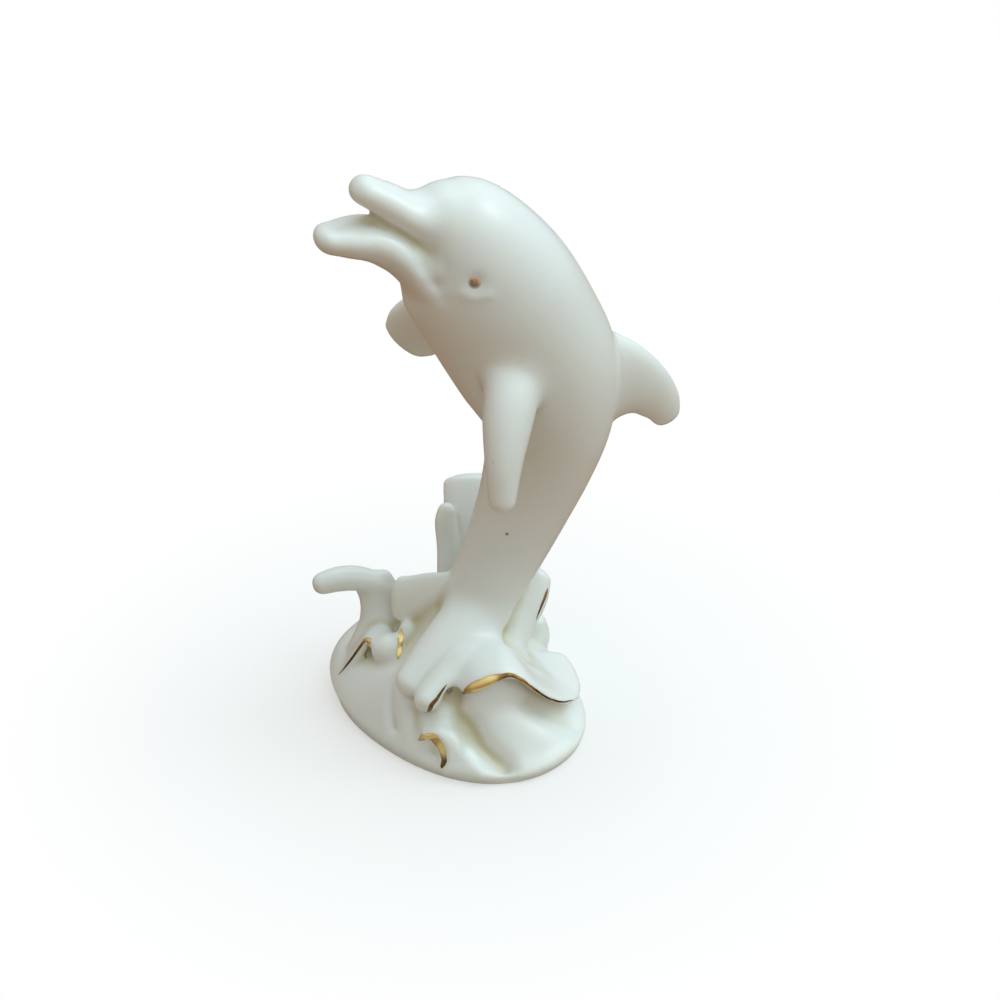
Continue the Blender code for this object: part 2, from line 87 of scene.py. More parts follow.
# Mound of sea, by direction from the foot's centre in degrees. Each pair is a share of the foot's
# radius and a share of the summit's height: low wall, high wall, brow, shoulder.
MOUND = [
    (-170.0, (1.0, 0.192), (0.9, 0.385), (0.76, 0.558), (0.46, 0.769)),
    (-145.0, (0.98, 0.212), (0.91, 0.404), (0.8, 0.577), (0.5, 0.808)),
    (-122.0, (0.96, 0.212), (0.86, 0.404), (0.75, 0.577), (0.48, 0.865)),
    (-103.0, (0.9, 0.200), (0.76, 0.404), (0.66, 0.673), (0.42, 0.904)),
    (-88.0, (0.88, 0.200), (0.7, 0.462), (0.64, 0.731), (0.42, 0.923)),
    (-73.0, (0.88, 0.185), (0.7, 0.423), (0.64, 0.673), (0.42, 0.904)),
    (-60.0, (0.9, 0.177), (0.75, 0.331), (0.68, 0.500), (0.42, 0.788)),
    (-48.0, (0.93, 0.154), (0.83, 0.246), (0.75, 0.369), (0.46, 0.654)),
    (-30.0, (0.97, 0.154), (0.9, 0.246), (0.8, 0.369), (0.5, 0.596)),
    (0.0, (0.98, 0.173), (0.94, 0.277), (0.84, 0.400), (0.5, 0.596)),
    (35.0, (0.98, 0.173), (0.95, 0.327), (0.86, 0.462), (0.5, 0.654)),
    (75.0, (0.96, 0.192), (0.88, 0.404), (0.76, 0.596), (0.48, 0.769)),
    (112.0, (0.98, 0.192), (0.9, 0.385), (0.78, 0.538), (0.48, 0.731)),
    (140.0, (1.02, 0.192), (0.97, 0.327), (0.84, 0.446), (0.5, 0.635)),
    (160.0, (1.02, 0.192), (0.94, 0.327), (0.8, 0.462), (0.48, 0.654)),
]

# Body from the forehead to the tail: x, z, half width, depth to the back, depth to the belly. Jaws
# from the throat to the tip: x, z, half width, depth to the chin, depth to the crown.
BODY = [
    (-6.8, 116.6, 6.4, 6.0, 7.0),
    (-3.6, 116.0, 9.8, 10.6, 11.4),
    (1.4, 112.2, 12.8, 14.2, 15.4),
    (8.3, 102.0, 15.0, 16.6, 16.8),
    (15.2, 89.8, 15.6, 16.8, 17.2),
    (19.6, 80.0, 15.2, 16.2, 16.5),
    (21.2, 70.0, 14.0, 13.4, 14.2),
    (19.6, 60.0, 12.0, 11.2, 12.2),
    (16.2, 49.6, 9.8, 9.6, 10.8),
    (11.2, 38.6, 8.4, 8.6, 9.4),
    (6.4, 30.0, 8.4, 7.8, 8.0),
    (2.0, 22.0, 8.6, 7.0, 7.0),
]
UPPER_JAW = [
    (-2.0, 117.2, 8.6, 5.6, 4.8),
    (-8.5, 120.6, 6.9, 4.4, 4.1),
    (-13.4, 123.8, 5.3, 3.8, 3.7),
    (-17.6, 126.6, 4.2, 3.0, 3.2),
]
LOWER_JAW = [
    (-0.5, 97.0, 11.0, 6.0, 7.6),
    (-3.8, 103.4, 10.8, 5.0, 8.0),
    (-7.2, 108.6, 9.8, 4.4, 6.2),
    (-10.4, 113.0, 8.4, 4.7, 4.6),
    (-13.8, 115.9, 7.3, 4.9, 4.0),
    (-17.4, 117.3, 6.6, 4.4, 4.1),
    (-21.2, 117.9, 6.1, 3.8, 3.6),
    (-24.3, 118.3, 5.0, 3.2, 3.0),
]

# Fins and flukes: spine point x, y, z, half chord, half thickness; and the chord's direction.
DORSAL_FIN = [
    (24.0, 0.0, 76.0, 15.5, 6.6),
    (33.0, 0.0, 75.0, 12.5, 4.8),
    (38.4, 0.0, 74.0, 9.1, 3.6),
    (43.2, 0.0, 71.5, 6.4, 2.9),
    (47.0, 0.0, 67.4, 4.8, 2.4),
    (48.8, 0.0, 63.8, 3.4, 2.0),
]
DORSAL_CHORD = (-0.1, 0.0, 1.0)
NEAR_FLIPPER = [
    (10.8, -5.0, 94.5, 7.4, 4.8),
    (9.0, -9.8, 89.6, 7.2, 4.8),
    (6.6, -14.4, 85.0, 6.3, 4.7),
    (4.3, -17.8, 80.0, 5.3, 4.2),
    (2.4, -20.8, 73.6, 4.0, 3.4),
    (1.3, -22.8, 66.6, 2.9, 2.6),
]
NEAR_FLIPPER_CHORD = (0.93, 0.25, -0.2)
FAR_FLIPPER = [
    (11.0, 9.0, 94.0, 8.0, 5.4),
    (6.4, 14.6, 90.6, 7.4, 4.2),
    (1.6, 18.8, 86.4, 7.4, 3.2),
    (-1.0, 21.2, 83.0, 7.0, 2.8),
    (-2.2, 22.2, 81.6, 6.0, 2.5),
]
FAR_FLIPPER_CHORD = (0.18, 0.1, -0.95)
NEAR_FLUKE = [
    (6.0, -2.0, 27.6, 7.0, 6.4),
    (0.2, -4.7, 25.3, 6.2, 5.6),
    (-6.6, -7.4, 22.4, 4.9, 4.7),
    (-11.7, -9.2, 19.7, 4.0, 4.0),
    (-15.0, -10.5, 17.9, 3.3, 3.3),
]
NEAR_FLUKE_CHORD = (-0.51, 0.58, 0.56)
FAR_FLUKE = [
    (2.0, 1.0, 26.4, 7.4, 3.4),
    (-2.4, 3.4, 26.0, 7.3, 2.4),
    (-6.4, 6.0, 25.6, 6.8, 2.0),
    (-10.4, 8.6, 26.0, 5.4, 1.8),
]
FAR_FLUKE_CHORD = (0.15, 0.1, 1.0)

# Breaking crests: a point of the lip, the root behind it, and half the thickness.
FRONT_AWNING = [
    ((-6.2, -19.6, 18.2), (-3.0, -11.0, 21.5), 2.1),
    ((-3.3, -21.3, 19.9), (-1.0, -11.5, 23.5), 2.2),
    ((0.2, -21.9, 21.3), (1.0, -12.0, 24.5), 1.8),
    ((3.5, -22.2, 21.8), (3.5, -12.0, 24.5), 1.4),
    ((6.8, -22.6, 19.8), (6.0, -12.0, 23.0), 1.3),
    ((10.1, -22.8, 16.3), (8.0, -12.0, 20.0), 1.3),
    ((13.5, -22.6, 13.1), (10.0, -11.6, 17.0), 1.3),
    ((17.3, -21.6, 10.4), (12.0, -11.0, 14.5), 1.3),
    ((21.0, -18.8, 8.7), (14.0, -9.6, 12.6), 1.3),
    ((23.4, -13.5, 8.6), (15.0, -7.0, 12.0), 1.4),
    ((24.0, -7.0, 9.4), (15.0, -3.0, 12.0), 1.4),
]
LEFT_AWNING = [
    ((-23.6, 9.6, 8.0), (-17.0, 16.5, 8.0), 1.6),
    ((-21.6, 7.8, 12.6), (-15.0, 15.0, 12.6), 1.6),
    ((-19.2, 6.2, 17.2), (-13.4, 12.0, 17.0), 1.6),
    ((-18.0, 4.0, 17.4), (-12.5, 8.0, 17.5), 1.5),
    ((-18.6, 2.0, 15.4), (-13.0, 5.0, 15.6), 1.4),
]
FRONT_CURL = [
    ((-15.6, -19.4, 9.0), (-11.5, -14.5, 9.6), 1.3),
    ((-12.8, -20.8, 10.2), (-8.5, -15.5, 10.4), 1.5),
    ((-11.5, -22.6, 8.6), (-6.0, -17.5, 8.6), 1.6),
    ((-11.5, -23.4, 5.6), (-5.0, -19.5, 5.8), 1.6),
    ((-12.8, -23.4, 1.5), (-7.0, -20.0, 1.5), 1.5),
]

# Waves: spine point x, y, z, half width, depth to the near side, depth to the far side.
PICTURE_LEFT = (-0.927, 0.375, 0.0)
HOOK_SHEET = [
    (-15.0, 11.0, 6.0, 9.0, 6.0, 6.0),
    (-14.4, 11.8, 12.0, 6.4, 4.4, 5.0),
    (-13.2, 12.8, 17.0, 5.0, 2.8, 3.6),
    (-12.8, 13.8, 21.5, 4.6, 2.2, 3.0),
    (-13.2, 14.6, 25.0, 4.6, 2.0, 2.6),
    (-14.0, 15.2, 27.2, 4.6, 1.8, 2.4),
]
HOOK_BAR = [
    (-8.4, 13.0, 23.4, 2.0, 2.0, 2.0),
    (-12.2, 14.4, 26.0, 2.4, 2.4, 2.4),
    (-17.0, 15.6, 28.2, 2.8, 2.8, 2.8),
    (-21.5, 16.2, 28.8, 2.8, 2.8, 2.8),
    (-25.2, 16.6, 28.3, 2.5, 2.5, 2.5),
]
SPLASH = [
    (7.0, 11.0, 18.0, 6.4, 4.6, 9.0),
    (7.8, 13.6, 28.0, 5.2, 3.4, 5.2),
    (9.6, 16.0, 35.6, 6.0, 2.9, 3.4),
    (11.4, 18.8, 40.6, 6.8, 2.6, 2.6),
    (12.2, 21.0, 43.2, 6.8, 2.3, 2.3),
]
SPLASH_SIDE = [
    (3.4, 12.0, 22.0, 3.4, 2.8, 2.8),
    (3.6, 14.0, 32.0, 2.7, 2.3, 2.3),
    (3.4, 15.2, 38.0, 2.5, 2.1, 2.1),
    (4.0, 15.8, 41.0, 2.1, 1.9, 1.9),
]
BLADE = [
    (6.0, -5.0, 8.0, 6.2, 5.0, 5.0),
    (6.6, -3.6, 14.0, 7.4, 4.6, 4.6),
    (9.4, -1.4, 19.4, 7.5, 3.6, 4.0),
    (12.4, -0.2, 22.6, 6.9, 3.1, 3.4),
    (15.6, 1.0, 26.0, 6.5, 2.7, 2.8),
    (18.4, 2.4, 29.2, 5.2, 2.3, 2.3),
]
BACK_LOBE = [
    (15.0, 5.4, 5.0, 7.4, 5.4, 5.4),
    (19.4, 5.2, 9.8, 5.0, 4.2, 4.2),
    (20.2, 5.0, 13.6, 3.2, 2.8, 2.8),
]
FRONT_RIDGE = [
    (4.0, -7.6, 21.8, 4.4, 4.2, 4.2),
    (-1.8, -11.0, 21.8, 4.2, 4.2, 4.4),
    (-6.8, -13.0, 19.6, 3.7, 3.5, 4.0),
    (-11.2, -15.0, 17.4, 3.1, 2.9, 3.5),
    (-13.3, -16.0, 16.4, 2.7, 2.6, 3.2),
]
LEFT_BALL = [
    (-13.5, 4.4, 14.0, 4.2, 4.2, 4.2),
    (-14.8, 3.8, 17.0, 3.8, 3.5, 3.5),
]
LEFT_STREAK = [
    (-12.6, 2.0, 13.0, 2.6, 2.2, 2.6),
    (-11.2, 3.2, 17.0, 2.2, 2.0, 2.4),
    (-10.0, 4.4, 20.6, 1.7, 1.6, 2.0),
]

# Places where the sculptor blended the forms broadly: points and reach.
SOFT_SPOTS = [
    ([(-0.1, -11.0, 89.5), (4.3, -14.1, 91.9), (10.1, -15.5, 90.1), (12.9, -15.5, 85.0)], 8.0),
    ([(12.0, 14.6, 95.0), (6.0, 14.5, 92.0), (1.5, 13.0, 87.0)], 7.0),
    ([(27.0, 0.0, 90.0), (30.0, 0.0, 62.0)], 5.0),
    ([(33.0, -4.5, 86.0), (35.0, -5.0, 78.0), (34.0, -5.0, 70.0), (31.0, -4.5, 64.0)], 6.0),
    ([(33.0, 4.5, 86.0), (35.0, 5.0, 78.0), (34.0, 5.0, 70.0), (31.0, 4.5, 64.0)], 6.0),
    ([(-1.7, -4.0, 31.0), (2.2, -8.3, 30.0), (6.5, -9.0, 27.7), (11.0, -6.5, 25.0)], 7.0),
    ([(3.2, -9.7, 27.2), (6.0, -10.2, 24.2)], 5.0),
    ([(13.4, -7.1, 15.4), (14.1, -9.4, 13.5), (12.5, -14.0, 16.0)], 4.0),
    ([(10.3, -6.4, 19.0), (12.2, -6.5, 18.6), (13.5, -4.5, 22.2)], 3.5),
    ([(-8.6, -9.4, 112.0), (-6.4, -10.2, 104.0)], 4.0),
    ([(-9.6, -4.0, 103.2), (-10.4, 0.0, 104.0), (-9.6, 4.0, 103.2)], 4.5),
    ([(-5.9, -7.9, 113.1), (-6.4, -8.8, 108.9)], 3.5),
    ([(-6.0, -7.5, 118.7), (-5.7, -5.7, 122.0), (-6.1, -2.2, 123.7), (-6.1, 2.2, 123.7),
      (-5.7, 5.7, 122.0), (-6.0, 7.5, 118.7)], 5.0),
]

# Marks pressed into the skin (depth above 0) or raised from it: points, reach, depth. The marks
# of the face are for its near side and are repeated on the far one: the eye socket and its lower
# lid, the line of the mouth and the lip under it.
MARK_STEPS = 12
MARK_SPREAD = 0.6
FACE_MARKS = [
    ([(0.0, -13.0, 110.3)], 2.8, 0.5),
    ([(-2.6, -12.4, 107.9), (-0.5, -13.2, 107.0), (2.1, -13.8, 107.5)], 1.8, -0.25),
    ([(-12.5, -2.6, 117.3), (-10.3, -5.8, 115.2), (-8.6, -8.3, 112.7), (-6.9, -9.5, 109.5)], 2.6, 0.5),
    ([(-6.9, -9.5, 109.5), (-5.6, -9.9, 106.4)], 2.4, 0.3),
    ([(-13.5, -7.6, 114.6), (-10.8, -9.2, 111.4)], 2.4, -0.2),
]
MARKS = [
    ([(-10.0, 0.0, 118.5), (-16.0, 0.0, 120.6), (-22.5, 0.0, 120.8)], 6.0, 1.2),
    ([(-14.8, -20.8, 5.2)], 3.4, 2.2),
    ([(-18.0, -5.0, 16.0), (-19.4, -8.3, 11.3), (-19.4, -11.0, 7.0)], 2.4, 1.0),
    ([(-15.4, -14.0, 12.0), (-17.4, -17.0, 7.0)], 2.4, 1.0),
    ([(-7.4, -17.0, 16.5), (-6.6, -18.8, 12.5), (-5.1, -21.0, 10.0), (-3.6, -24.2, 7.0),
      (0.0, -28.4, 4.0)], 3.8, 2.2),
    ([(3.0, -21.0, 10.0), (9.7, -23.9, 6.0)], 8.0, -1.2),
    ([(8.5, -20.5, 12.5), (13.4, -22.0, 8.5), (18.8, -22.4, 5.0)], 4.4, 0.7),
    ([(-9.4, -21.5, 9.5), (-8.0, -24.5, 6.0), (-5.4, -27.4, 3.0)], 2.4, -0.5),
]

# Gilding: runs of photograph pixels with the line's half width in millimetres and how bright the
# gold is painted there, from 0 for a painted dark brown reflection to 1 for painted bright gold
# light. A line stands proud by its lift in the middle, sinks at its edges by a share of that, and
# narrows towards its ends.
GILT_LIFT = 0.05
GILT_EDGE_SINK = 1.6
GILT_END_FULLNESS = 2.2
GILT_END_WIDTH = 0.05
GILT_FACING_PASSES = 6
GILT_RUNS = {
    "gilt_front_crest": [
        (462, 693, 1.2, 0.0), (468, 691.5, 1.9, 0.4), (476, 688, 2.1, 1.0), (486, 684, 2.0, 1.0),
        (494, 680, 1.6, 0.9), (502, 677, 0.9, 0.2), (511, 675, 0.6, 0.1), (520, 679, 0.6, 0.3),
        (527, 684, 0.6, 0.3), (535, 690, 0.5, 0.1), (544, 696, 0.4, 0.0), (553, 700, 0.35, 0.0),
        (563, 702, 0.35, 0.0), (573, 700, 0.35, 0.0), (580, 695, 0.3, 0.0),
    ],
    "gilt_front_curl": [
        (418, 740, 0.9, 0.4), (424, 738, 1.5, 0.9), (431, 737.5, 1.7, 1.0), (437.5, 739.5, 1.7, 0.5),
        (441.5, 745.5, 1.6, 0.9), (444, 753, 1.5, 0.8), (444, 761, 1.3, 0.0), (441, 768, 1.2, 0.0),
        (435.5, 775, 0.8, 0.0),
    ],
    "gilt_left_wave": [
        (338, 675, 0.25, 0.0), (345, 667, 0.35, 0.0), (352, 658, 0.4, 0.0), (359, 648, 0.45, 0.1),
        (365, 640, 0.55, 0.5), (370, 641, 0.6, 0.9), (368, 649, 0.5, 0.6), (365, 659, 0.4, 0.1),
    ],
    "gilt_left_streak": [
        (401, 628, 0.45, 0.6), (401, 636, 0.75, 1.0), (400, 645, 0.7, 0.6), (399, 653, 0.7, 0.9),
        (398, 660, 0.4, 0.4),
    ],
    "gilt_front_ridge": [
        (447, 684, 0.2, 0.0), (442, 691, 0.35, 0.0), (437, 699, 0.55, 0.1), (431, 707, 0.7, 0.1),
        (425, 713, 0.5, 0.0),
    ],
    "gilt_blade": [
        (548, 588, 0.35, 0.2), (545, 597, 0.45, 0.2), (541, 607, 0.3, 0.0), (536, 620, 0.2, 0.0),
    ],
}

# Painted eye and speck: photograph pixel, radius and lift in millimetres. A spot swells towards its
# middle and sinks at its rim. The eye has painted shade at its lower left that turns to painted
# light at its upper right.
EYE_PIXEL = (475, 282)
EYE_RADIUS = 1.5
EYE_LIFT = 0.1
EYE_LIGHT_TURN = 0.6
SPECK_PIXEL = (507, 534)
SPECK_RADIUS = 0.42
SPECK_LIFT = 0.03
SPOT_SWELL = 2.5
SPOT_RIM_SINK = 0.04

# Hollows of the skin, where the glaze pools and where shade is painted olive: how far the skin is
# evened out to find them, and the depth in millimetres that counts as fully hollow.
HOLLOW_PASSES = 120
HOLLOW_PULL = 0.6
HOLLOW_DEPTH = 0.9
HOLLOW_EVENING_PASSES = 6

# Materials. A scale is in features for each metre. Stops are pairs of a place on a ramp, from 0 to
# 1, and the grey value or the colour there. Heights and lengths are in metres.
CLOUD_SCALE = 38.0
CLOUD_STOPS = [(0.3, (0.79, 0.82, 0.80)), (0.7, (0.82, 0.82, 0.78))]
# The olive in the hollows is partly pooled glaze and partly painted shade.
POOL_AND_SHADE_STOPS = [(0.55, 0.0), (0.95, 1.0)]
POOL_AND_SHADE_COLOUR = (0.62, 0.57, 0.39)
PIT_SCALE = 160.0
PIT_STOPS = [(0.035, 1.0), (0.06, 0.0)]
PIT_RARITY_STOPS = [(0.90, 0.0), (0.93, 0.5)]
PIT_COLOUR = (0.42, 0.36, 0.26)
BARE_STOPS = [(0.0003, 1.0), (0.0008, 0.0)]
BARE_COLOUR = (0.70, 0.66, 0.58)
BARE_ROUGHNESS = (0.85, 0.85, 0.85)
GLOSS_SCALE = 90.0
GLOSS_STOPS = [(0.0, 0.28), (1.0, 0.37)]
GLAZE_WAVE_SCALE = 130.0
GLAZE_WAVE_STRENGTH = 0.08
GLAZE_WAVE_HEIGHT = 0.0004
GLAZE_SURFACE = {
    "Subsurface Weight": 0.35,
    "Subsurface Radius": (1.0, 0.72, 0.5),
    "Subsurface Scale": 0.003,
    "IOR": 1.5,
    "Coat Weight": 0.35,
    "Coat Roughness": 0.14,
}
BRUSH_SCALE = 700.0
BRUSH_SHARE = 0.3
BRUSH_GLOSS_STOPS = [(0.3, 0.28), (0.7, 0.40)]
BRUSH_STRENGTH = 0.25
BRUSH_HEIGHT = 0.00005
# Painted reflection: dark brown for dark surroundings mirrored in the gold, bright gold for caught
# light.
GOLD_REFLECTION_STOPS = [(0.12, (0.10, 0.055, 0.02)), (0.38, (0.50, 0.30, 0.09)), (0.70, (1.0, 0.76, 0.34))]
GOLD_SURFACE = {"Metallic": 0.9}
ENAMEL_SCALE = 900.0
ENAMEL_SHARE = 0.25
# Dark brown for the eye's painted shade, orange for its painted light.
ENAMEL_SHADE_AND_LIGHT_STOPS = [(0.25, (0.17, 0.085, 0.06)), (0.5, (0.36, 0.19, 0.12)), (0.7, (0.84, 0.60, 0.40))]
ENAMEL_RIM_STOPS = [(0.55, 0.0), (1.0, 1.0)]
ENAMEL_RIM_COLOUR = (0.76, 0.74, 0.68)
ENAMEL_SURFACE = {"Roughness": 0.22, "Coat Weight": 0.6, "Coat Roughness": 0.1}
STAIN_SCALE = 1500.0
STAIN_STOPS = [(0.3, (0.22, 0.20, 0.17)), (0.7, (0.36, 0.33, 0.28))]
STAIN_SURFACE = {"Roughness": 0.25}

# Light: a soft ambient dome, and lobes of brighter sky on it. A lobe has the azimuth and elevation
# that its light comes from, in degrees, how tight it is, and its strength in red, green and blue.
AMBIENT = (0.48, 0.42, 0.35)
LOBES = [
    (0.0, 90.0, 2.0, (0.10, 0.20, 0.25)),
    (64.0, 50.0, 8.0, (0.80, 1.12, 1.22)),
    (76.0, 47.0, 90.0, (3.0, 3.4, 3.5)),
    (178.0, 72.0, 60.0, (1.4, 1.6, 1.7)),
    (120.0, 40.0, 8.0, (0.10, 0.18, 0.30)),
]

# Floor: as the camera sees it, and as the figurine sees it, pale beside its foot and warm and dim
# further out. It fades to white between two distances from the figurine's middle.
FLOOR_RADIUS = 3.0
FLOOR_DROP = 0.0002
FLOOR_SEEN = (0.88, 0.86, 0.84)
FLOOR_BOUNCE_STOPS = [(0.032, (0.62, 0.58, 0.52)), (0.05, (0.30, 0.16, 0.08))]
FLOOR_FADE = {"From Min": 0.03, "From Max": 0.11, "To Min": 0.45, "To Max": 1.0}
FLOOR_SURFACE = {"Roughness": 0.9, "Specular IOR Level": 0.1}


def view_axes():
    """Unit vectors of the photograph's view: back to the camera, right and up."""
    level = math.cos(ELEVATION)
    back = np.array((math.sin(AZIMUTH) * level, -math.cos(AZIMUTH) * level, math.sin(ELEVATION)))
    right = np.array((math.cos(AZIMUTH), math.sin(AZIMUTH), 0.0))
    return back, right, np.cross(back, right)


def make_camera():
    back, right, up = view_axes()
    data = bpy.data.cameras.new("photograph_view")
    camera = bpy.data.objects.new("photograph_view", data)
    bpy.context.scene.collection.objects.link(camera)
    axes = np.eye(4)
    axes[:3, 0], axes[:3, 1], axes[:3, 2], axes[:3, 3] = right, up, back, TARGET + back * DISTANCE
    camera.matrix_world = Matrix(axes.tolist())
    data.sensor_width = SENSOR
    data.lens = FOCAL_PIXELS / PHOTO_WIDTH * SENSOR
    data.shift_x = (PHOTO_WIDTH / 2 - MIDDLE[0]) / PHOTO_WIDTH
    data.shift_y = (MIDDLE[1] - PHOTO_WIDTH / 2) / PHOTO_WIDTH
    data.clip_start = CLIP_START
    bpy.context.scene.camera = camera


def smooth_run(keys, rows, wanted):
    """Cubic Hermite values of the rows at the wanted keys, with tangents from their neighbours."""
    keys, rows = np.array(keys, float), np.array(rows, float)
    slopes = np.gradient(rows, keys, axis=0)
    low = np.clip(np.searchsorted(keys, wanted, side="right") - 1, 0, len(keys) - 2)
    span = (keys[low + 1] - keys[low])[:, None]
    t = ((wanted - keys[low]) / span[:, 0])[:, None]
    start, end = rows[low], rows[low + 1]
    leaving, arriving = slopes[low] * span, slopes[low + 1] * span
    rise = 3 * t**2 - 2 * t**3
    return start + (end - start) * rise + leaving * (t**3 - 2 * t**2 + t) + arriving * (t**3 - t**2)


def refined(rows, steps):
    """The rows as a smooth run with `steps` rows for each gap."""
    keys = np.arange(len(rows))
    return smooth_run(keys, rows, np.linspace(0.0, len(rows) - 1.0, (len(rows) - 1) * steps + 1))


def ring_faces(rings, around):
    """Quads between neighbouring rings, and a fan to a point at each end."""
    first, last = rings * around, rings * around + 1
    faces = []
    for j in range(around):
        k = (j + 1) % around
        faces.append((k, j, first))
        for i in range(rings - 1):
            faces.append((i * around + j, i * around + k, (i + 1) * around + k, (i + 1) * around + j))
        faces.append(((rings - 1) * around + j, (rings - 1) * around + k, last))
    return faces


def form(name, points, faces):
    """One closed form, from points in millimetres."""
    mesh = bpy.data.meshes.new(name)
    mesh.from_pydata([Vector(p) * MM for p in points], [], faces)
    obj = bpy.data.objects.new(name, mesh)
    bpy.context.scene.collection.objects.link(obj)
    return obj


def unit(rows):
    return rows / np.linalg.norm(rows, axis=-1, keepdims=True)


def loft(name, stations, across, caps=(0.7, 0.9), around=40, steps=10, dome=8):
    """A closed tube through stations (x, y, z, half width, depth to one side, depth to the other).

    A section's width lies along `across`, one direction or one for each station, squared up to
    the spine. Each end is a dome as high as its share in `caps` of the end section's mean depth.
    """
    rows = refined(stations, steps)
    centres, sizes = rows[:, :3], rows[:, 3:]
    along = unit(np.gradient(centres, axis=0))
    across = refined(np.broadcast_to(across, (len(stations), 3)), steps)
    wide = unit(across - (along * across).sum(1)[:, None] * along)
    deep = np.cross(along, wide)
    sections = [(i, 0.0, 1.0) for i in range(len(rows))]
    for k in range(1, dome + 1):
        angle = math.pi / 2 * k / (dome + 1)
        sections.insert(0, (0, -math.sin(angle) * caps[0] * sizes[0, 1:].mean(), math.cos(angle)))
        sections.append((-1, math.sin(angle) * caps[1] * sizes[-1, 1:].mean(), math.cos(angle)))
    points = []
    for i, shift, share in sections:
        for j in range(around):
            angle = 2 * math.pi * j / around
            depth = sizes[i, 1] if math.sin(angle) >= 0 else sizes[i, 2]
            offset = wide[i] * sizes[i, 0] * math.cos(angle) + deep[i] * depth * math.sin(angle)
            points.append(centres[i] + along[i] * shift + offset * share)
    points.append(centres[0] - along[0] * caps[0] * sizes[0, 1:].mean())
    points.append(centres[-1] + along[-1] * caps[1] * sizes[-1, 1:].mean())
    return form(name, points, ring_faces(len(sections), around))


def fin(name, stations, chord, caps=(0.5, 0.9)):
    """A blade that is as wide as its chord and equally thick to both sides."""
    return loft(name, [row + row[-1:] for row in stations], chord, caps)


def awning(name, stations):
    """A breaking crest: a thin sheet from its lip back to its root."""
    lips = np.array([lip for lip, _, _ in stations])
    roots = np.array([root for _, root, _ in stations])
    half_thick = np.array([[thick] for _, _, thick in stations])
    half_width = np.linalg.norm(roots - lips, axis=1, keepdims=True) / 2
    rows = np.hstack([(lips + roots) / 2, half_width, half_thick, half_thick])
    return loft(name, rows, roots - lips, caps=(1.2, 1.2), around=56)


def in_plane(stations):
    """Stations of a form that lies in the dolphin's plane of symmetry."""
    return [(x, 0.0, z, wide, near, far) for x, z, wide, near, far in stations]


def foot_radius(angle):
    """Radius of the oval foot in a direction, in radians."""
    turned = angle - math.radians(FOOT_TURN)
    along = abs(math.cos(turned) / (FOOT_LENGTH / 2)) ** FOOT_SQUARENESS
    across = abs(math.sin(turned) / (FOOT_WIDTH / 2)) ** FOOT_SQUARENESS
    return (along + across) ** (-1.0 / FOOT_SQUARENESS)


def mound_profiles(angles):
    """The mound's profile of (share of the foot's radius, height) pairs for each angle."""
    keys, rows = [], []
    for turn in (-360.0, 0.0, 360.0):
        for angle, *pairs in MOUND:
            keys.append(angle + turn)
            rows.append([value for share, rise in pairs for value in (share, rise * SUMMIT_HEIGHT)])
    return smooth_run(keys, rows, angles).reshape(len(angles), -1, 2)


def make_mound(around=216, steps=8):
    """The body of the sea: a hill on the oval foot, hollowed under the breaking crests."""
    angles = np.linspace(-180.0, 180.0, around, endpoint=False)
    foot = [(FOOT_INSET, -FOOT_EXTRA_DEPTH), (FOOT_INSET, 0.0), (1.0, FOOT_ROLL_HEIGHT)]
    top = [(SUMMIT_SHARE, SUMMIT_HEIGHT)]
    profiles = [refined(foot + list(hill) + top, steps) for hill in mound_profiles(angles)]
    profiles = np.array(profiles)
    points = []
    for i in range(profiles.shape[1]):
        for j, degrees in enumerate(angles):
            angle = math.radians(degrees)
            radius = foot_radius(angle) * profiles[j, i, 0]
            points.append((radius * math.cos(angle), radius * math.sin(angle), profiles[j, i, 1]))
    points.append((0.0, 0.0, -FOOT_EXTRA_DEPTH))
    points.append((0.0, 0.0, SUMMIT_HEIGHT))
    return form("mound", points, ring_faces(profiles.shape[1], around))


def make_dolphin():
    side = (0.0, 1.0, 0.0)
    return [
        loft("body", in_plane(BODY), side, caps=(0.4, 0.6), around=72),
        loft("upper_jaw", in_plane(UPPER_JAW), side),
        loft("lower_jaw", in_plane(LOWER_JAW), side, caps=(0.7, 1.15)),
        fin("dorsal_fin", DORSAL_FIN, DORSAL_CHORD),
        fin("near_flipper", NEAR_FLIPPER, NEAR_FLIPPER_CHORD),
        fin("far_flipper", FAR_FLIPPER, FAR_FLIPPER_CHORD),
        fin("near_fluke", NEAR_FLUKE, NEAR_FLUKE_CHORD),
        fin("far_fluke", FAR_FLUKE, FAR_FLUKE_CHORD),
    ]


def make_waves():
    return [
        loft("hook_sheet", HOOK_SHEET, PICTURE_LEFT),
        loft("hook_bar", HOOK_BAR, (0.0, 0.0, 1.0)),
        loft("splash", SPLASH, PICTURE_LEFT),
        loft("splash_side", SPLASH_SIDE, PICTURE_LEFT),
        loft("blade", BLADE, PICTURE_LEFT),
        loft("back_lobe", BACK_LOBE, PICTURE_LEFT),
        loft("front_ridge", FRONT_RIDGE, NEAR_FLUKE_CHORD),
        awning("front_curl", FRONT_CURL),
        awning("front_awning", FRONT_AWNING),
        awning("left_awning", LEFT_AWNING),
        loft("left_ball", LEFT_BALL, PICTURE_LEFT),
        loft("left_streak", LEFT_STREAK, PICTURE_LEFT),
    ]


def stretched(forms):
    """Stretches the drawn forms to the overall size and returns the stretch along x, y and z."""
    points = np.array([vert.co for piece in forms for vert in piece.data.vertices]) / MM
    low, high = points.min(0), points.max(0)
    stretch = np.array((LENGTH, SPREAD, HEIGHT)) / (high[0] - low[0], high[1] - low[1], high[2])
    for piece in forms:
        piece.data.transform(Matrix.Diagonal((*stretch, 1.0)))
    return stretch


def apply_modifiers(obj):
    graph = bpy.context.evaluated_depsgraph_get()
    mesh = bpy.data.meshes.new_from_object(obj.evaluated_get(graph))
    obj.modifiers.clear()
    obj.data = mesh


